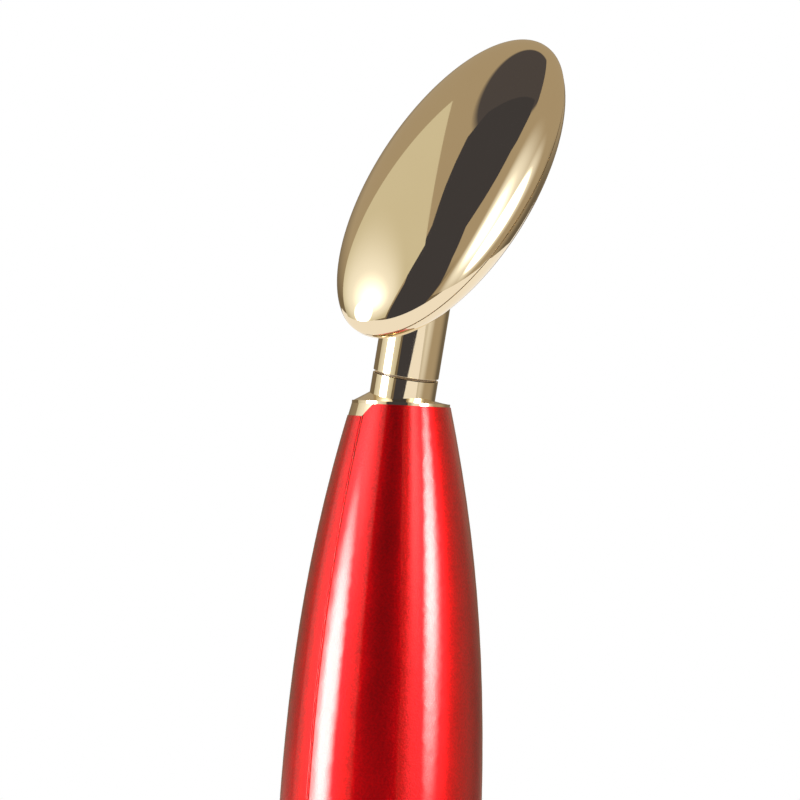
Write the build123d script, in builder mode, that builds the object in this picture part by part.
from build123d import *
import os
from math import cos, radians, sin

# Heated eye massager wand: a slim lacquered barrel in two halves that stands on its battery cap, with a
# leaning neck and a swivelling, heated, oval head.
# Millimetres, +Z up the barrel, origin at the middle of the flat the wand stands on. The button faces -Y.

# ---------------------------------------------------------------- driving dimensions
# barrel outline
neck_room = 14.0           # from the motor's weight to the top edge of the front shell
top_radius = 5.15
belly_radius = 10.5
belly_height = 57.0
base_radius = 7.3
top_taper = 14.0           # degrees from vertical at the top edge
base_taper = 11.0          # degrees from vertical at the base
top_handle = 13.6          # how long the outline follows its taper at the top
upper_belly_handle = 21.5
lower_belly_handle = 24.0
base_handle = 18.0
base_rounding = 1.1
shell_wall = 1.1
back_shell_drop = 1.3      # the back shell stops this much below the front shell
tongue_slant = 1.1         # how far the front shell's top corners are cut back
rib_thickness = 1.2
snap_width = 4.0
snap_reach = 2.0
snap_thickness = 0.8

# neck collar and swivel
neck_lean = 9.2            # degrees, towards the button side
neck_radius = 3.4
seam_height = 3.0          # the swivel seam, along the neck from the barrel's top
shoulder_height = 0.85
flange_thickness = 0.3
flange_inset = 0.08
spigot_length = 5.6
groove_depth = 0.6
groove_height = 1.0
groove_drop = 1.7          # top of the shells' rib below the barrel's top edge
spindle_radius = 2.3
spindle_bore = 1.0
spindle_top = 9.0
spindle_bottom = 5.0       # below the barrel's top edge, along the neck
spindle_flat = 1.9         # half the width across the spindle's flats
bearing_bottom = 3.4
keeper_radius = 3.45       # recess under the bearing that holds the stop washer
swivel_washer_thickness = 0.22
swivel_washer_inset = 0.22
stop_washer_thickness = 0.5
stop_washer_radius = 2.8
stop_tab_reach = 3.3
stop_tab_angle = 24.0
swivel_travel = 90.0       # each way from the rest position
stop_slack = 1.0
clip_thickness = 0.4
clip_radius = 2.75
clip_seat = 1.7            # radius at the bottom of the clip's groove
clip_opening = 70.0
friction_ring_section = 0.33
friction_ring_height = 0.6

# head
head_length = 38.3
head_width = 18.9
front_dome_depth = 4.8
back_dome_depth = 6.0
head_wall = 1.0
head_lean = 36.0           # degrees between the neck and the head's long axis
head_rise = 22.9           # head centre along the neck from the barrel's top
head_set_back = 2.76       # head centre behind the neck's axis
head_rest_turn = -78.0     # the head is nearly a quarter turn from the button side at rest
rim_step = 0.1
gasket_thickness = 0.12
gasket_inset = 0.25
lip_inset = 0.75
lip_width = 0.65
lip_depth = 0.6
carrier_gap = 0.15
carrier_thickness = 0.8
carrier_drop = 0.2         # carrier's upper face below the rim plane
film_thickness = 0.2
film_margin = 0.9
pad_margin = 0.7
post_radius = 0.9
post_pin_radius = 0.45
post_spacing = 26.0
terminal_length = 3.4
terminal_width = 3.0
terminal_thickness = 0.9
sensor_radius = 0.5
sensor_leg_radius = 0.3
sensor_offset = 3.0
lead_radius = 0.8
lead_bore = 1.2
lead_overhang = 0.5        # head lead past the lower end of its spindle
lead_straight = 3.0        # and how far below the spindle the barrel's lead first bends

# power cell, contacts and cap
cell_length = 44.5
cell_radius = 5.25
cell_nub_radius = 2.75
cell_nub_height = 0.8
cap_height = 12.0
cap_gap = 0.3
cap_floor = 1.6
cap_bore = 6.75
cap_spigot_radius = 7.5
cap_spigot_length = 4.5
seal_section = 0.35
seal_rise = 2.7            # the ring above the root of the cap's spigot
contact_thickness = 0.3
spring_height = 2.9
spring_radius = 4.2
spring_top_radius = 3.1
spring_wire = 0.3
spring_turns = 3
tube_lift = 2.6            # battery tube's mouth above the battery's lower end

# chassis
tube_radius = 6.35
tube_bore = 5.5
lower_rib_rise = 17.8      # the shells' ribs above the battery's lower end
upper_rib_rise = 31.1
snap_rise = 24.5
bulkhead_radius = 8.5
bulkhead_thickness = 1.5
rail_inside = 3.4
rail_outside = 6.8
rail_depth = 3.5
web_thickness = 1.8
deck_radius = 7.4
deck_thickness = 1.2
deck_hole = 2.2
hook_inside = 3.0
hook_outside = 5.4
hook_height = 1.2
hook_thickness = 0.8
strip_width = 2.0
strip_thickness = 0.25
strip_sunk = 0.1
strip_rise = 2.0           # negative strip's crossing above the bulkhead
tab_width = 1.4
tab_offset = 2.2
tab_set_back = 1.2         # tab behind the board, where it comes through the bulkhead
tab_rise = 3.5
boss_radius = 1.6
boss_offset = 5.5
boss_rise = 2.2            # above the board's upper edge
chassis_screw_radius = 0.7
screw_bite = 4.0
screw_head_height = 0.9
screw_head_ratio = 2.0     # to the shank's radius, and so for the cross cut in the head
cross_length_ratio = 2.4
cross_width_ratio = 0.5
board_screw_radius = 0.6
board_screw_offset = 4.4
board_screw_drop = 2.2

# board and what it carries
board_face = 6.6           # front face of the board in front of the barrel's axis
board_thickness = 1.0
board_length = 18.0
board_width = 11.6
button_rise = 3.0          # button's middle above the board's lower edge
button_length = 11.0
button_width = 6.6
button_proud = 0.5
button_travel = 0.4
button_flange = 0.6
button_edge = 0.25
switch_size = 4.4
switch_height = 1.1
switch_floor = 0.1
plunger_radius = 0.9
plunger_pad_radius = 1.3
led_rise = 7.8             # indicator above the button's middle
led_size = 1.6
led_thickness = 0.6
light_pipe_radius = 0.8
light_pipe_flange = 1.2
light_pipe_proud = 0.1
chip_size = 5.0
chip_thickness = 1.4
chip_rise = 7.6
coil_radius = 1.8
coil_height = 2.0
coil_offset = 1.5
coil_rise = 13.2

# vibration motor and leads
motor_radius = 3.0
motor_length = 12.0
boot_thickness = 0.6
boot_end_gap = 1.2
holder_wall = 0.95
holder_length = 10.0
shaft_radius = 0.5
shaft_length = 6.6
shaft_sunk = 2.0
weight_radius = 2.9
weight_hub = 1.2
weight_length = 4.0
weight_gap = 0.8
lead_path = 6.0            # how far behind the axis the barrel's lead runs past the motor
motor_lead_radius = 0.4
motor_lead_offset = 1.4

# clearances
running = 0.05             # turning or sliding fits
fit = 0.05                 # seated parts that are lifted in
moving_gap = 0.15          # round the button
face_gap = 0.05            # between faces that turn on each other
ring_gap = 0.03            # between a rubber ring and the bore it slides in

# ---------------------------------------------------------------- heights and planes worked out from them
contact_top = cap_floor + contact_thickness
cell_bottom = contact_top + spring_height
cell_top = cell_bottom + cell_length
tube_bottom = cell_bottom + tube_lift
contact_ring_bottom = tube_bottom - contact_thickness
bulkhead_bottom = cell_top + contact_thickness
bulkhead_top = bulkhead_bottom + bulkhead_thickness
board_bottom = bulkhead_top + fit
board_top = board_bottom + board_length
board_back = board_face - board_thickness
switch_face = board_face + switch_height
button_seat = switch_face + 0.5 * switch_height
button_height = board_bottom + button_rise
led_height = button_height + led_rise
web_front = board_back - rail_depth
tab_face = tab_set_back - board_back
tab_top = bulkhead_top + tab_rise
boss_height = board_top + boss_rise
deck_bottom = boss_height + boss_radius
deck_top = deck_bottom + deck_thickness
holder_radius = motor_radius + boot_thickness + fit + holder_wall
holder_rib_bottom = deck_top + holder_length - rib_thickness
motor_bottom = deck_top + fit
motor_top = motor_bottom + motor_length
weight_bottom = motor_top + weight_gap
weight_top = weight_bottom + weight_length
barrel_height = weight_top + neck_room
shells_bottom = cap_height + cap_gap
back_top = barrel_height - back_shell_drop
spigot_radius = top_radius - shell_wall - fit
collar_rib_top = barrel_height - groove_drop
tube_ribs = (cell_bottom + lower_rib_rise, cell_bottom + upper_rib_rise, bulkhead_bottom - rib_thickness)
snap_heights = (cell_bottom + snap_rise, board_top - snap_width, motor_top)

front_plane = Plane.XZ     # looks out of the button side, -Y
button_places = [(0, button_height)]
boss_places = [(-boss_offset, boss_height), (boss_offset, boss_height)]
board_screw_places = [
    (-board_screw_offset, board_top - board_screw_drop), (board_screw_offset, board_top - board_screw_drop)
]

neck_direction = Vector(0, -sin(radians(neck_lean)), cos(radians(neck_lean)))
neck_plane = Plane(origin=(0, 0, barrel_height), x_dir=(1, 0, 0), z_dir=neck_direction)
rest_turn = radians(head_rest_turn)
swivel_plane = Plane(
    origin=neck_plane.origin,
    x_dir=neck_plane.x_dir * cos(rest_turn) + neck_plane.y_dir * sin(rest_turn),
    z_dir=neck_direction,
)


def neck_point(across, back, up):
    """A point beside the head's neck, in the barrel's frame."""
    return swivel_plane.from_local_coords(Vector(across, back, up))


def neck_vector(across, back, up):
    """A direction beside the head's neck, in the barrel's frame."""
    return neck_point(across, back, up) - swivel_plane.origin


lean_sin, lean_cos = sin(radians(head_lean)), cos(radians(head_lean))
head_plane = Plane(
    origin=neck_point(0, head_set_back, head_rise),
    x_dir=neck_vector(0, lean_sin, lean_cos),
    z_dir=neck_vector(0, -lean_cos, lean_sin),
)


def neck_to_head(height):
    """Where the neck's axis meets the level at this height over the head's plane, along its length."""
    climb = (height - head_set_back * lean_cos) / lean_sin
    return climb * lean_cos - head_set_back * lean_sin


def export(piece, name):
    """Label a finished piece and write its STEP file."""
    piece.part.label = name
    export_step(piece.part, f"parts/{name}.step")


def barrel_blank(inset, bottom, top):
    """The turned outline of the barrel, drawn in by inset, between two heights."""
    top_slope, base_slope = radians(top_taper), radians(base_taper)
    top_x, belly_x, base_x = top_radius - inset, belly_radius - inset, base_radius - inset
    with BuildPart() as blank:
        with BuildSketch(Plane.XZ):
            with BuildLine():
                upper = Bezier(
                    (top_x, barrel_height),
                    (top_x + top_handle * sin(top_slope), barrel_height - top_handle * cos(top_slope)),
                    (belly_x, belly_height + upper_belly_handle),
                    (belly_x, belly_height),
                )
                lower = Bezier(
                    (belly_x, belly_height),
                    (belly_x, belly_height - lower_belly_handle),
                    (base_x + base_handle * sin(base_slope), base_handle * cos(base_slope)),
                    (base_x, 0),
                )
                Polyline(lower @ 1, (0, 0), (0, barrel_height), upper @ 0)
            make_face()
        revolve(axis=Axis.Z)
        with BuildSketch(Plane.XY.offset(bottom)):
            Circle(2 * belly_radius)
        extrude(amount=top - bottom, mode=Mode.INTERSECT)
    return blank.part


def ring(bottom, height, outer, inner):
    """A plain ring about the barrel's axis."""
    with BuildPart() as band:
        with BuildSketch(Plane.XY.offset(bottom)):
            Circle(outer)
            Circle(inner, mode=Mode.SUBTRACT)
        extrude(amount=height)
    return band.part


def shell_rib(bottom, height, bore):
    """A rib moulded inside the barrel's wall, with a round bore."""
    with BuildPart() as rib:
        add(barrel_blank(shell_wall / 2, bottom, bottom + height))
        with BuildSketch(Plane.XY.offset(bottom)):
            Circle(bore)
        extrude(amount=height, mode=Mode.SUBTRACT)
    return rib.part


def dome(shrink, depth):
    """A whole ellipsoid on the head's plane, drawn in by shrink."""
    with BuildPart() as blank:
        Sphere(1)
        scale(by=(head_length / 2 - shrink, head_width / 2 - shrink, depth))
    return head_plane.location * blank.part


def head_block(length, width, bottom, top):
    """An elliptical block on the head's plane, from one height to another."""
    with BuildPart() as block:
        with BuildSketch(head_plane.offset(bottom)):
            Ellipse(length / 2, width / 2)
        extrude(amount=top - bottom)
    return block.part


def neck_bar(radius, bottom, top):
    """A round bar on the neck's axis, from one distance above the barrel to another."""
    with BuildPart() as bar:
        with BuildSketch(neck_plane.offset(bottom)):
            Circle(radius)
        extrude(amount=top - bottom)
    return bar.part


def sector(outer, inner, middle, width):
    """A flat slice of a ring, in degrees."""
    with BuildSketch() as slice_of_ring:
        with BuildLine():
            far = CenterArc((0, 0), outer, middle - width / 2, width)
            near = CenterArc((0, 0), inner, middle - width / 2, width)
            Line(far @ 0, near @ 0)
            Line(far @ 1, near @ 1)
        make_face()
    return slice_of_ring.sketch


def tube_along(points, radii, radius):
    """A round lead of straight runs and tangent bends."""
    with BuildPart() as lead:
        with BuildLine() as route:
            FilletPolyline(*points, radius=radii)
        with BuildSketch(Plane(origin=route.line @ 0, z_dir=route.line % 0)):
            Circle(radius)
        sweep()
    return lead.part


def screws(face, places, shank, shank_length, head_height):
    """A group of pan-head screws, heads on the plane's front, shanks behind it."""
    with BuildPart() as group:
        with BuildSketch(face):
            with Locations(*places):
                Circle(shank)
        extrude(amount=-shank_length)
        with BuildSketch(face):
            with Locations(*places):
                Circle(screw_head_ratio * shank)
        extrude(amount=head_height)
        with BuildSketch(face.offset(head_height)):
            with Locations(*places):
                Rectangle(cross_length_ratio * shank, cross_width_ratio * shank)
                Rectangle(cross_width_ratio * shank, cross_length_ratio * shank)
        extrude(amount=-head_height / 2, mode=Mode.SUBTRACT)
    return group


os.makedirs("parts", exist_ok=True)

# ---------------------------------------------------------------- barrel shells
with BuildPart() as top_offcut:         # what the front shell's tongue leaves free for the collar's skirt
    with BuildSketch(Plane.YZ.offset(-2 * top_radius)):
        with BuildLine():
            Polyline(
                (0, back_top), (-tongue_slant, barrel_height),
                (2 * top_radius, barrel_height), (2 * top_radius, back_top), close=True,
            )
        make_face()
    extrude(amount=4 * top_radius)

with BuildPart() as barrel_tube:
    add(barrel_blank(0, shells_bottom, barrel_height))
    add(barrel_blank(shell_wall, shells_bottom, barrel_height), mode=Mode.SUBTRACT)
    add(shell_rib(shells_bottom, cap_spigot_length + cap_gap, cap_spigot_radius + running))
    for rib_height in tube_ribs:
        add(shell_rib(rib_height, rib_thickness, tube_radius + fit))
    add(shell_rib(holder_rib_bottom, rib_thickness, holder_radius + fit))
    add(shell_rib(collar_rib_top - groove_height, groove_height, spigot_radius - groove_depth + fit))
    add(top_offcut.part, mode=Mode.SUBTRACT)

with BuildPart() as screw_bosses:
    with BuildSketch(front_plane.offset(web_front + fit)):
        with Locations(*boss_places):
            Circle(boss_radius)
    extrude(amount=belly_radius)
    add(barrel_blank(shell_wall / 2, deck_bottom - 3 * boss_radius, deck_top), mode=Mode.INTERSECT)

with BuildPart() as button_pocket:      # room in the ribs for the button's flange
    with BuildSketch(front_plane.offset(switch_face)):
        with Locations(*button_places):
            pocket_margin = 2 * (button_flange + 2 * moving_gap)
            SlotOverall(button_length + pocket_margin, button_width + pocket_margin, rotation=90)
    extrude(amount=belly_radius)
    add(barrel_blank(shell_wall, shells_bottom, barrel_height), mode=Mode.INTERSECT)

with BuildPart() as front_shell:
    add(barrel_tube.part)
    split(bisect_by=front_plane, keep=Keep.TOP)
    add(screw_bosses.part)
    add(button_pocket.part, mode=Mode.SUBTRACT)
    with BuildSketch(front_plane.offset(web_front + fit)):
        with Locations(*boss_places):
            Circle(chassis_screw_radius)
    extrude(amount=screw_bite, mode=Mode.SUBTRACT)
    with BuildSketch(front_plane):
        with Locations(*button_places):
            SlotOverall(button_length + 2 * moving_gap, button_width + 2 * moving_gap, rotation=90)
        with Locations((0, led_height)):
            Circle(light_pipe_radius + fit)
    extrude(amount=2 * belly_radius, mode=Mode.SUBTRACT)
export(front_shell, "front_shell")

with BuildPart() as snap_tabs:          # spring tabs that reach inside the front shell's edges
    for tab_height in snap_heights:
        add(barrel_blank(shell_wall + fit, tab_height, tab_height + snap_width))
        add(
            barrel_blank(shell_wall + fit + snap_thickness, tab_height, tab_height + snap_width),
            mode=Mode.SUBTRACT,
        )
    with BuildSketch(Plane.XY):
        Rectangle(4 * belly_radius, 2 * snap_reach)
    extrude(amount=barrel_height, mode=Mode.INTERSECT)

with BuildPart() as snap_roots:         # what joins the tabs to the back shell's wall
    for tab_height in snap_heights:
        add(barrel_blank(shell_wall / 2, tab_height, tab_height + snap_width))
        add(
            barrel_blank(shell_wall + fit + snap_thickness, tab_height, tab_height + snap_width),
            mode=Mode.SUBTRACT,
        )
    with BuildSketch(Plane.XY):
        with Locations((0, (fit + 2 * snap_reach) / 2)):
            Rectangle(4 * belly_radius, 2 * snap_reach - fit)
    extrude(amount=barrel_height, mode=Mode.INTERSECT)

with BuildPart() as back_shell:
    add(barrel_tube.part)
    split(bisect_by=front_plane, keep=Keep.BOTTOM)
    add(snap_roots.part)
    add(snap_tabs.part)
    with BuildSketch(Plane.XY.offset(holder_rib_bottom)):
        with Locations((0, lead_path - lead_bore)):
            Rectangle(2 * lead_bore, 4 * lead_bore)
    extrude(amount=rib_thickness, mode=Mode.SUBTRACT)
export(back_shell, "back_shell")

# ---------------------------------------------------------------- neck collar
with BuildPart() as collar_skirt:
    add(barrel_blank(flange_inset, back_top, barrel_height))
    add(top_offcut.part, mode=Mode.INTERSECT)

with BuildPart() as neck_collar:
    with BuildSketch(Plane.XY.offset(barrel_height - spigot_length)):
        Circle(spigot_radius)
    extrude(amount=spigot_length)
    with BuildSketch(Plane.XY.offset(collar_rib_top - groove_height - fit)):
        Circle(2 * spigot_radius)
        Circle(spigot_radius - groove_depth, mode=Mode.SUBTRACT)
    extrude(amount=groove_height + 2 * fit, mode=Mode.SUBTRACT)
    add(collar_skirt.part)
    with BuildSketch(Plane.XY.offset(barrel_height)):
        Circle(top_radius - flange_inset)
    extrude(amount=flange_thickness)
    with BuildSketch(Plane.XY.offset(barrel_height + flange_thickness)):
        Circle(top_radius - 3 * flange_inset)
    with BuildSketch(neck_plane.offset(shoulder_height)):
        Circle(neck_radius)
    loft()
    with BuildSketch(neck_plane.offset(shoulder_height)):
        Circle(neck_radius)
    extrude(amount=seam_height - shoulder_height)
    add(neck_bar(spindle_radius + running, -2 * spigot_length, 2 * seam_height), mode=Mode.SUBTRACT)
    add(neck_bar(keeper_radius, -2 * spigot_length, -bearing_bottom), mode=Mode.SUBTRACT)
    with BuildSketch(neck_plane.offset(-bearing_bottom)):       # the lug that stops the washer's tab
        stop_width = 360 - 2 * (swivel_travel + stop_slack) - stop_tab_angle
        add(sector(keeper_radius + fit, stop_washer_radius + 3 * running, 0, stop_width))
    extrude(amount=-(stop_washer_thickness + 2 * face_gap))
export(neck_collar, "neck_collar")

# ---------------------------------------------------------------- head
sleeve_bottom = seam_height + face_gap + swivel_washer_thickness
film_shrink = head_wall + film_thickness
lip_length = head_length - 2 * (head_wall + lip_inset)
lip_across = head_width - 2 * (head_wall + lip_inset)
carrier_length = lip_length - 2 * (lip_width + carrier_gap)
carrier_width = lip_across - 2 * (lip_width + carrier_gap)
film_length = carrier_length - 2 * film_margin
film_width = carrier_width - 2 * film_margin
with BuildPart() as lip:                # it drops into the back cover and centres the two halves
    add(head_block(lip_length, lip_across, -lip_depth, lip_depth))
    add(head_block(head_length - head_wall, head_width - head_wall, 0, lip_depth))
    add(
        head_block(lip_length - 2 * lip_width, lip_across - 2 * lip_width, -lip_depth, lip_depth),
        mode=Mode.SUBTRACT,
    )

with BuildPart() as head_front_shell:
    add(dome(0, front_dome_depth))
    split(bisect_by=head_plane, keep=Keep.TOP)
    add(dome(head_wall, front_dome_depth - head_wall), mode=Mode.SUBTRACT)
    add(lip.part)
export(head_front_shell, "head_front_shell")

with BuildPart() as head_gasket:
    add(
        head_block(
            head_length - 2 * (rim_step + gasket_inset), head_width - 2 * (rim_step + gasket_inset),
            -gasket_thickness, 0,
        )
    )
    add(head_block(lip_length + 2 * fit, lip_across + 2 * fit, -gasket_thickness, 0), mode=Mode.SUBTRACT)
export(head_gasket, "head_gasket")

carrier_top = -carrier_drop
carrier_bottom = carrier_top - carrier_thickness
terminal_bottom = carrier_bottom - terminal_thickness
with BuildPart() as carrier_posts:
    with BuildSketch(head_plane.offset(carrier_bottom)):
        with GridLocations(post_spacing, 1, 2, 1):
            Circle(post_radius)
    extrude(amount=-back_dome_depth)
    with BuildSketch(head_plane.offset(carrier_bottom)):
        with GridLocations(post_spacing, 1, 2, 1):
            Circle(post_pin_radius)
    extrude(amount=carrier_thickness)
    add(dome(rim_step + head_wall / 2, back_dome_depth - head_wall / 2), mode=Mode.INTERSECT)

with BuildPart() as head_back_cover:
    add(dome(rim_step, back_dome_depth))
    add(neck_bar(neck_radius, sleeve_bottom, head_rise))
    split(bisect_by=head_plane.offset(-gasket_thickness), keep=Keep.BOTTOM)
    add(dome(rim_step + head_wall, back_dome_depth - head_wall), mode=Mode.SUBTRACT)
    add(carrier_posts.part)
    add(neck_bar(spindle_radius, 0, spindle_top), mode=Mode.SUBTRACT)
    add(neck_bar(lead_bore, 0, head_rise), mode=Mode.SUBTRACT)
export(head_back_cover, "head_back_cover")

with BuildPart() as heater_carrier:
    add(head_block(carrier_length, carrier_width, carrier_bottom, carrier_top))
    with BuildSketch(head_plane.offset(carrier_bottom)):
        with GridLocations(post_spacing, 1, 2, 1):
            Circle(post_pin_radius + fit)
    extrude(amount=carrier_thickness, mode=Mode.SUBTRACT)
export(heater_carrier, "heater_carrier")

with BuildPart() as heater_film:
    add(dome(head_wall, front_dome_depth - head_wall))
    add(dome(film_shrink, front_dome_depth - film_shrink), mode=Mode.SUBTRACT)
    add(head_block(film_length, film_width, 0, front_dome_depth), mode=Mode.INTERSECT)
export(heater_film, "heater_film")

with BuildPart() as heater_pad:
    add(dome(film_shrink, front_dome_depth - film_shrink))
    add(
        head_block(film_length - 2 * pad_margin, film_width - 2 * pad_margin, carrier_top, front_dome_depth),
        mode=Mode.INTERSECT,
    )
    with BuildSketch(head_plane.offset(carrier_top)):
        with Locations((sensor_offset, 0)):
            Circle(sensor_radius + fit)
    extrude(amount=front_dome_depth, mode=Mode.SUBTRACT)
export(heater_pad, "heater_pad")

with BuildPart() as temperature_sensor:
    sensor_height = front_dome_depth - film_shrink - sensor_radius - 2 * fit
    with BuildSketch(head_plane.offset(carrier_top)):
        with Locations((sensor_offset, 0)):
            Circle(sensor_leg_radius)
    extrude(amount=sensor_height - carrier_top)
    with Locations(head_plane.offset(sensor_height).location * Pos(sensor_offset, 0, 0)):
        Sphere(sensor_radius)
export(temperature_sensor, "temperature_sensor")

with BuildPart() as heater_terminal:
    terminal_place = (neck_to_head(carrier_bottom) + neck_to_head(terminal_bottom)) / 2
    with BuildSketch(head_plane.offset(terminal_bottom)):
        with Locations((terminal_place, 0)):
            Rectangle(terminal_length, terminal_width)
    extrude(amount=terminal_thickness)
export(heater_terminal, "heater_terminal")

with BuildPart() as head_lead:
    add(neck_bar(lead_radius, -(spindle_bottom + lead_overhang), head_rise))
    split(bisect_by=head_plane.offset(terminal_bottom), keep=Keep.BOTTOM)
export(head_lead, "head_lead")

# ---------------------------------------------------------------- swivel
ring_centre = spindle_radius + running - ring_gap - friction_ring_section
clip_top = bearing_bottom + stop_washer_thickness + 2 * face_gap

with BuildPart() as swivel_spindle:
    add(neck_bar(spindle_radius, -spindle_bottom, spindle_top))
    add(neck_bar(spindle_bore, -spindle_bottom, spindle_top), mode=Mode.SUBTRACT)
    with BuildSketch(neck_plane.offset(friction_ring_height - friction_ring_section)):
        Circle(2 * spindle_radius)
        Circle(ring_centre - friction_ring_section, mode=Mode.SUBTRACT)
    extrude(amount=2 * friction_ring_section, mode=Mode.SUBTRACT)
    with BuildSketch(neck_plane.offset(-clip_top - fit)):
        Circle(2 * spindle_radius)
        Circle(clip_seat, mode=Mode.SUBTRACT)
    extrude(amount=-clip_thickness - fit, mode=Mode.SUBTRACT)
    with BuildSketch(swivel_plane.offset(-spindle_bottom)):
        Rectangle(4 * spindle_radius, 4 * spindle_radius)
        Rectangle(2 * spindle_flat, 4 * spindle_radius, mode=Mode.SUBTRACT)
    extrude(amount=spindle_bottom - bearing_bottom, mode=Mode.SUBTRACT)
export(swivel_spindle, "swivel_spindle")

with BuildPart(neck_plane.offset(friction_ring_height)) as friction_ring:
    Torus(ring_centre, friction_ring_section)
export(friction_ring, "friction_ring")

with BuildPart() as swivel_washer:
    with BuildSketch(neck_plane.offset(seam_height + face_gap)):
        Circle(neck_radius - swivel_washer_inset)
        Circle(spindle_radius + running, mode=Mode.SUBTRACT)
    extrude(amount=swivel_washer_thickness)
export(swivel_washer, "swivel_washer")

with BuildSketch() as keyhole:          # its flats key the washer to the spindle
    Circle(spindle_radius + fit)
    Rectangle(2 * (spindle_flat + fit), 4 * spindle_radius, mode=Mode.INTERSECT)

with BuildPart() as stop_washer:
    with BuildSketch(swivel_plane.offset(-bearing_bottom - face_gap)):
        Circle(stop_washer_radius)
        add(sector(stop_tab_reach, stop_washer_radius / 2, -90, stop_tab_angle))
        add(keyhole.sketch, mode=Mode.SUBTRACT)
    extrude(amount=-stop_washer_thickness)
export(stop_washer, "stop_washer")

with BuildPart() as spindle_clip:
    with BuildSketch(swivel_plane.offset(-clip_top - fit)):
        Circle(clip_radius)
        Circle(clip_seat + fit, mode=Mode.SUBTRACT)
        add(sector(2 * clip_radius, clip_seat / 2, 90, clip_opening), mode=Mode.SUBTRACT)
    extrude(amount=-clip_thickness)
export(spindle_clip, "spindle_clip")

# ---------------------------------------------------------------- chassis
strip_face = tube_radius - strip_sunk
groove_floor = strip_face - strip_thickness
rail_middle = (rail_inside + rail_outside) / 2
rail_width = rail_outside - rail_inside
strip_top = bulkhead_top + strip_rise + strip_thickness

with BuildPart() as inner_chassis:
    with BuildSketch(Plane.XY.offset(tube_bottom)):
        Circle(tube_radius)
    extrude(amount=bulkhead_top - tube_bottom)
    with BuildSketch(Plane.XY.offset(bulkhead_bottom)):
        Circle(bulkhead_radius)
        with Locations((0, -switch_face - bulkhead_radius)):
            Rectangle(4 * bulkhead_radius, 2 * bulkhead_radius, mode=Mode.SUBTRACT)
    extrude(amount=bulkhead_thickness)
    with BuildSketch(Plane.XY.offset(tube_bottom)):
        Circle(tube_bore)
    extrude(amount=bulkhead_bottom - tube_bottom, mode=Mode.SUBTRACT)
    with BuildSketch(Plane.XY.offset(bulkhead_top)):        # rails behind the board
        rail_y = -board_back + rail_depth / 2
        with Locations((-rail_middle, rail_y), (rail_middle, rail_y)):
            Rectangle(rail_width, rail_depth)
    extrude(amount=board_length)
    with BuildSketch(Plane.XY.offset(bulkhead_top)):        # webs up to the motor deck
        web_middle = -web_front + web_thickness / 2
        with Locations((-rail_middle, web_middle), (rail_middle, web_middle)):
            Rectangle(rail_width, web_thickness)
    extrude(amount=deck_top - bulkhead_top)
    with BuildSketch(Plane.XY.offset(bulkhead_top)):        # hooks in front of the board's lower edge
        hook_middle = (hook_inside + hook_outside) / 2
        hook_y = -board_face - fit - hook_thickness / 2
        with Locations((-hook_middle, hook_y), (hook_middle, hook_y)):
            Rectangle(hook_outside - hook_inside, hook_thickness)
    extrude(amount=hook_height)
    with BuildSketch(Plane.XY.offset(deck_bottom)):         # motor deck
        Circle(deck_radius)
        Circle(deck_hole, mode=Mode.SUBTRACT)
    extrude(amount=deck_thickness)
    with BuildSketch(Plane.XY.offset(deck_top)):            # motor holder
        Circle(holder_radius)
        Circle(holder_radius - holder_wall, mode=Mode.SUBTRACT)
    extrude(amount=holder_length)
    with BuildSketch(Plane.XY.offset(deck_bottom)):         # the lead's way past the deck
        with Locations((0, (holder_radius + deck_radius) / 2)):
            Rectangle(2 * lead_bore, deck_radius - deck_hole)
    extrude(amount=deck_thickness, mode=Mode.SUBTRACT)
    with BuildSketch(Plane.XY.offset(tube_bottom)):         # groove for the negative strip
        with Locations((0, groove_floor + tube_radius / 2)):
            Rectangle(strip_width + 2 * fit, tube_radius)
    extrude(amount=bulkhead_top - tube_bottom, mode=Mode.SUBTRACT)
    with BuildSketch(Plane.XY.offset(bulkhead_bottom)):     # slot for the battery contact's tab
        with Locations((-tab_offset, tab_face + contact_thickness / 2)):
            Rectangle(tab_width + 2 * fit, contact_thickness + 2 * fit)
    extrude(amount=bulkhead_thickness, mode=Mode.SUBTRACT)
    with BuildSketch(front_plane.offset(web_front)):        # holes for the screws into the front shell
        with Locations(*boss_places):
            Circle(chassis_screw_radius + fit)
    extrude(amount=-web_thickness, mode=Mode.SUBTRACT)
    with BuildSketch(front_plane.offset(board_back)):       # holes for the board's screws
        with Locations(*board_screw_places):
            Circle(board_screw_radius)
    extrude(amount=-rail_depth + fit, mode=Mode.SUBTRACT)
export(inner_chassis, "inner_chassis")

chassis_screws = screws(
    front_plane.offset(web_front - web_thickness).rotated((180, 0, 0)),
    [(x, -z) for x, z in boss_places],
    chassis_screw_radius, web_thickness + screw_bite - fit, screw_head_height,
)
export(chassis_screws, "chassis_screws")

# ---------------------------------------------------------------- battery and its contacts
with BuildPart() as battery:
    with BuildSketch(Plane.XY.offset(cell_bottom)):
        Circle(cell_radius)
    extrude(amount=cell_length - cell_nub_height)
    chamfer(battery.edges(), cell_nub_height / 4)
    with BuildSketch(Plane.XY.offset(cell_top - cell_nub_height)):
        Circle(cell_nub_radius)
    extrude(amount=cell_nub_height)
export(battery, "battery")

with BuildPart() as battery_contact:
    with BuildSketch(Plane.XY.offset(cell_top)):
        Circle(tube_bore - 4 * fit)
    extrude(amount=contact_thickness)
    with BuildSketch(Plane.YZ.offset(-tab_offset - tab_width / 2)):
        with BuildLine():
            Polyline(
                (tab_face + contact_thickness, cell_top), (tab_face, cell_top),
                (tab_face, tab_top - contact_thickness), (-board_back, tab_top - contact_thickness),
                (-board_back, tab_top), (tab_face + contact_thickness, tab_top), close=True,
            )
        make_face()
    extrude(amount=tab_width)
export(battery_contact, "battery_contact")

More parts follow.
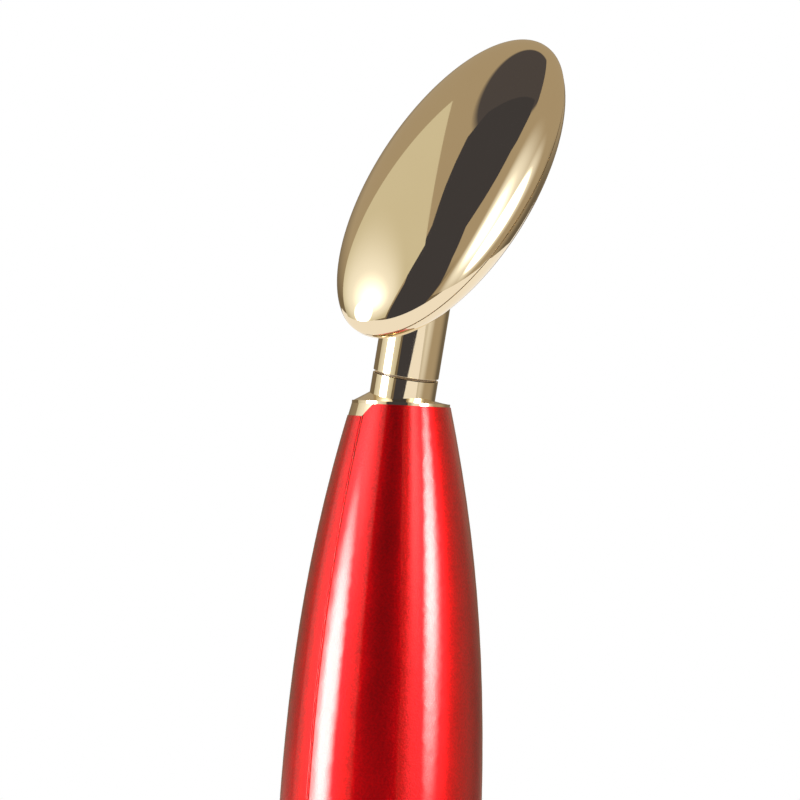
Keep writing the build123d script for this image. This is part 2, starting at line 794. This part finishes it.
with BuildPart() as contact_ring:
    add(ring(contact_ring_bottom, contact_thickness, tube_radius, tube_bore + fit))
export(contact_ring, "contact_ring")

with BuildPart() as negative_strip:
    with BuildSketch(Plane.YZ.offset(-strip_width / 2)):
        with BuildLine():
            Polyline(
                (groove_floor, tube_bottom), (strip_face, tube_bottom), (strip_face, strip_top),
                (-board_back, strip_top), (-board_back, strip_top - strip_thickness),
                (groove_floor, strip_top - strip_thickness), close=True,
            )
        make_face()
    extrude(amount=strip_width)
export(negative_strip, "negative_strip")

# ---------------------------------------------------------------- cap
seal_height = cap_height + seal_rise
seal_centre = cap_spigot_radius + running - ring_gap - seal_section
with BuildPart() as base_cap:
    add(barrel_blank(0, 0, cap_height))
    fillet(base_cap.faces().sort_by(Axis.Z)[0].edges(), base_rounding)
    with BuildSketch(Plane.XY.offset(cap_height)):
        Circle(cap_spigot_radius)
    extrude(amount=cap_spigot_length)
    with BuildSketch(Plane.XY.offset(cap_floor)):
        Circle(cap_bore)
    extrude(amount=cap_height + cap_spigot_length, mode=Mode.SUBTRACT)
    with BuildSketch(Plane.XY.offset(seal_height - seal_section)):
        Circle(2 * cap_spigot_radius)
        Circle(seal_centre - seal_section, mode=Mode.SUBTRACT)
    extrude(amount=2 * seal_section, mode=Mode.SUBTRACT)
export(base_cap, "base_cap")

with BuildPart(Plane.XY.offset(seal_height)) as cap_seal:
    Torus(seal_centre, seal_section)
export(cap_seal, "cap_seal")

with BuildPart() as cap_contact:
    with BuildSketch(Plane.XY.offset(cap_floor)):
        Circle(cap_bore - fit)
    extrude(amount=contact_ring_bottom - face_gap - cap_floor)
    with BuildSketch(Plane.XY.offset(contact_top)):
        Circle(cap_bore - fit - contact_thickness)
    extrude(amount=contact_ring_bottom - face_gap - contact_thickness - contact_top, mode=Mode.SUBTRACT)
    with BuildSketch(Plane.XY.offset(contact_top)):
        Circle(tube_bore)
    extrude(amount=contact_ring_bottom, mode=Mode.SUBTRACT)
export(cap_contact, "cap_contact")

with BuildPart() as cap_spring:         # a conical coil of half turns, each tilted to meet the next
    half_turns = 2 * spring_turns
    coil_climb = (spring_height - 2 * spring_wire - fit) / half_turns
    coil_taper = (spring_radius - spring_top_radius) / half_turns
    with BuildLine() as coil_line:
        ends = [
            Vector(
                (-1) ** step * (spring_radius - step * coil_taper), 0,
                contact_top + spring_wire + step * coil_climb,
            )
            for step in range(half_turns + 1)
        ]
        for step in range(half_turns):
            begin, finish = ends[step], ends[step + 1]
            bulge = Vector(0, (-1) ** step * (finish - begin).length / 2, 0)
            ThreePointArc(begin, (begin + finish) * 0.5 + bulge, finish)
    with BuildSketch(Plane(origin=coil_line.line @ 0, z_dir=coil_line.line % 0)):
        Circle(spring_wire)
    sweep(path=coil_line.line)
export(cap_spring, "cap_spring")

# ---------------------------------------------------------------- board and what it carries
with BuildPart() as circuit_board:
    with BuildSketch(front_plane.offset(board_back)):
        with Locations((0, (board_bottom + board_top) / 2)):
            Rectangle(board_width, board_length)
        with Locations(*board_screw_places):
            Circle(board_screw_radius + fit, mode=Mode.SUBTRACT)
    extrude(amount=board_thickness)
export(circuit_board, "circuit_board")

board_screws = screws(
    front_plane.offset(board_face), board_screw_places,
    board_screw_radius, board_thickness + rail_depth - 2 * fit, screw_head_height / 2,
)
export(board_screws, "board_screws")

pocket_depth = switch_height - switch_floor
with BuildPart() as tact_switch:
    with BuildSketch(front_plane.offset(board_face)):
        with Locations(*button_places):
            Rectangle(switch_size, switch_size)
    extrude(amount=switch_height)
    with BuildSketch(front_plane.offset(switch_face)):
        with Locations(*button_places):
            Circle(plunger_radius + running)
    extrude(amount=-pocket_depth, mode=Mode.SUBTRACT)
export(tact_switch, "tact_switch")

with BuildPart() as switch_plunger:
    with BuildSketch(front_plane.offset(switch_face + button_travel)):
        with Locations(*button_places):
            Circle(plunger_radius)
    extrude(amount=-pocket_depth + 2 * face_gap)
export(switch_plunger, "switch_plunger")

with BuildPart() as flange:             # it keeps the button inside the front shell
    with BuildSketch(front_plane.offset(switch_face + button_travel + face_gap)):
        with Locations(*button_places):
            SlotOverall(button_length + 2 * button_flange, button_width + 2 * button_flange, rotation=90)
    extrude(amount=belly_radius)
    add(barrel_blank(shell_wall + 2 * fit, shells_bottom, barrel_height), mode=Mode.INTERSECT)
    add(barrel_blank(shell_wall + 2 * fit + button_flange, shells_bottom, barrel_height), mode=Mode.SUBTRACT)

with BuildPart() as power_button:
    with BuildSketch(front_plane.offset(button_seat)):
        with Locations(*button_places):
            SlotOverall(button_length, button_width, rotation=90)
    extrude(amount=belly_radius)
    add(barrel_blank(-button_proud, shells_bottom, barrel_height), mode=Mode.INTERSECT)
    fillet(power_button.faces().sort_by(Axis.Y)[0].edges(), button_edge)
    add(flange.part)
    with BuildSketch(front_plane.offset(switch_face + button_travel)):
        with Locations(*button_places):
            Circle(plunger_pad_radius)
    extrude(amount=button_seat - switch_face)
export(power_button, "power_button")

with BuildPart() as power_led:
    with BuildSketch(front_plane.offset(board_face)):
        with Locations((0, led_height)):
            Rectangle(led_size, led_size / 2)
    extrude(amount=led_thickness)
export(power_led, "power_led")

with BuildPart() as pipe_flange:
    with BuildSketch(front_plane.offset(board_face)):
        with Locations((0, led_height)):
            Circle(light_pipe_flange)
    extrude(amount=belly_radius)
    add(barrel_blank(shell_wall + fit, shells_bottom, barrel_height), mode=Mode.INTERSECT)
    add(barrel_blank(2 * shell_wall, shells_bottom, barrel_height), mode=Mode.SUBTRACT)

with BuildPart() as light_pipe:
    with BuildSketch(front_plane.offset(board_face + led_thickness + fit)):
        with Locations((0, led_height)):
            Circle(light_pipe_radius)
    extrude(amount=belly_radius)
    add(barrel_blank(-light_pipe_proud, shells_bottom, barrel_height), mode=Mode.INTERSECT)
    add(pipe_flange.part)
export(light_pipe, "light_pipe")

with BuildPart() as control_chip:
    with BuildSketch(front_plane.offset(board_back)):
        with Locations((0, board_bottom + chip_rise)):
            Rectangle(chip_size, chip_size)
    extrude(amount=-chip_thickness)
export(control_chip, "control_chip")

with BuildPart() as boost_coil:
    with BuildSketch(front_plane.offset(board_back)):
        with Locations((-coil_offset, board_bottom + coil_rise)):
            Circle(coil_radius)
    extrude(amount=-coil_height)
export(boost_coil, "boost_coil")

# ---------------------------------------------------------------- motor and leads
with BuildPart() as vibration_motor:
    with BuildSketch(Plane.XY.offset(motor_bottom)):
        Circle(motor_radius)
    extrude(amount=motor_length)
    with BuildSketch(Plane.XY.offset(motor_top)):
        Circle(2 * shaft_radius)
    extrude(amount=weight_gap / 2)
    with BuildSketch(Plane.XY.offset(motor_top - shaft_sunk)):
        Circle(shaft_radius + running)
    extrude(amount=motor_length, mode=Mode.SUBTRACT)
export(vibration_motor, "vibration_motor")

with BuildPart() as motor_boot:
    boot_length = motor_length - 2 * boot_end_gap
    add(ring(motor_bottom + boot_end_gap, boot_length, motor_radius + boot_thickness, motor_radius))
export(motor_boot, "motor_boot")

with BuildPart() as motor_shaft:
    with BuildSketch(Plane.XY.offset(motor_top - shaft_sunk + face_gap)):
        Circle(shaft_radius)
    extrude(amount=shaft_length)
export(motor_shaft, "motor_shaft")

with BuildPart() as eccentric_weight:
    with BuildSketch(Plane.XY.offset(weight_bottom)):
        Circle(weight_radius)
        with Locations((0, -weight_radius)):
            Rectangle(4 * weight_radius, 2 * weight_radius, mode=Mode.SUBTRACT)
        Circle(weight_hub)
        Circle(shaft_radius, mode=Mode.SUBTRACT)
    extrude(amount=weight_length)
export(eccentric_weight, "eccentric_weight")

lead_start = neck_plane.from_local_coords(Vector(0, 0, -(spindle_bottom + lead_overhang + face_gap)))
lead_turn = neck_plane.from_local_coords(Vector(0, 0, -(spindle_bottom + lead_straight)))
with BuildPart() as barrel_lead:
    add(
        tube_along(
            [
                lead_start, lead_turn,
                (0, lead_path, weight_top),
                (0, lead_path, deck_bottom),
                (0, lead_bore, board_top - board_screw_drop),
                (0, -board_back, board_top - board_screw_drop),
            ],
            (4.0, 6.0, 6.0, 6.0), lead_radius,
        )
    )
export(barrel_lead, "barrel_lead")

with BuildPart() as motor_leads:
    for side in (-1, 1):
        place = side * motor_lead_offset
        add(
            tube_along(
                [
                    (place, 0, motor_bottom), (place, 0, board_top - lead_radius),
                    (place, -board_back, board_top - lead_radius),
                ],
                (2.4,), motor_lead_radius,
            )
        )
export(motor_leads, "motor_leads")
